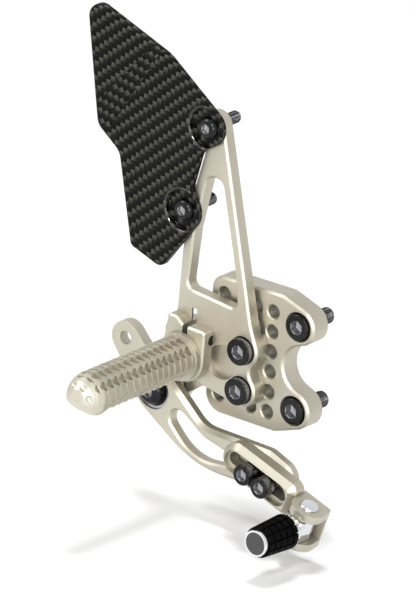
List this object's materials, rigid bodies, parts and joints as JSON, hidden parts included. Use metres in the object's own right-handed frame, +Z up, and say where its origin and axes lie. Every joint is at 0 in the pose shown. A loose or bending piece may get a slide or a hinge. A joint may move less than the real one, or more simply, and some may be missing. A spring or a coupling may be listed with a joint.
{
  "type": "rear sets footrest",
  "caption": "Motorbike rear set: adapter plate, A-shaped heel bracket with clamped foot peg, carbon heel guard and a foot lever with a folding, sliding toe peg.",
  "frame": {"origin": "midway between the two frame screws, on the adapter plate's back face", "axes": "+X forward, +Y into the machine along the frame screws, +Z up"},
  "size_m": [0.1622, 0.1163, 0.225],
  "materials": {
    "anodised_aluminium": "champagne anodised, fine bead blast",
    "black_steel": "black oxide, oiled",
    "bearing_steel": "ground",
    "chrome": "polished chrome",
    "carbon": "twill weave under clear resin",
    "rubber": "moulded",
    "seal_rubber": "moulded",
    "cap_plastic": "moulded"
  },
  "bodies": {
    "frame_side": {"adapter_plate": "anodised_aluminium", "frame_screw_upper": "black_steel", "frame_screw_lower": "black_steel", "bracket": "anodised_aluminium", "bracket_screw_upper": "black_steel", "bracket_screw_lower": "black_steel", "bracket_lock_washer_upper": "black_steel", "bracket_lock_washer_lower": "black_steel", "foot_peg": "anodised_aluminium", "peg_clamp_screw": "black_steel", "heel_guard": "carbon", "guard_screw_upper": "black_steel", "guard_screw_lower": "black_steel", "pivot_screw": "black_steel", "bearing_inner_race": "bearing_steel", "pivot_washer": "bearing_steel", "pivot_spacer": "bearing_steel"},
    "lever": {"foot_lever": "anodised_aluminium", "bearing_outer_race": "bearing_steel", "bearing_balls": "bearing_steel", "bearing_seal_back": "seal_rubber", "bearing_seal_front": "seal_rubber", "toe_screw_front": "black_steel", "toe_screw_rear": "black_steel", "toe_lock_washer_front": "black_steel", "toe_lock_washer_rear": "black_steel"},
    "toe_piece": {"toe_holder": "anodised_aluminium", "toe_pin": "chrome"},
    "toe_peg": {"toe_peg_core": "chrome", "toe_rubber": "rubber", "toe_cap": "cap_plastic", "toe_detent_ball": "bearing_steel", "toe_detent_spring": "bearing_steel"}
  },
  "joints": [
    {"name": "lever_pivot", "type": "hinge", "parent": "frame_side", "child": "lever", "pos_m": [-0.0712, -0.021, -0.0283], "axis": [0, 1, 0], "range_deg": [-8, 8]},
    {"name": "toe_slide", "type": "slide", "parent": "lever", "child": "toe_piece", "axis": [0.9537, 0, -0.3007], "range_m": [-0.005, 0.009]},
    {"name": "toe_peg_fold", "type": "hinge", "parent": "toe_piece", "child": "toe_peg", "pos_m": [0.02828, -0.0309, -0.05732], "axis": [0.3007, 0, 0.9537], "range_deg": [0, 90]}
  ]
}
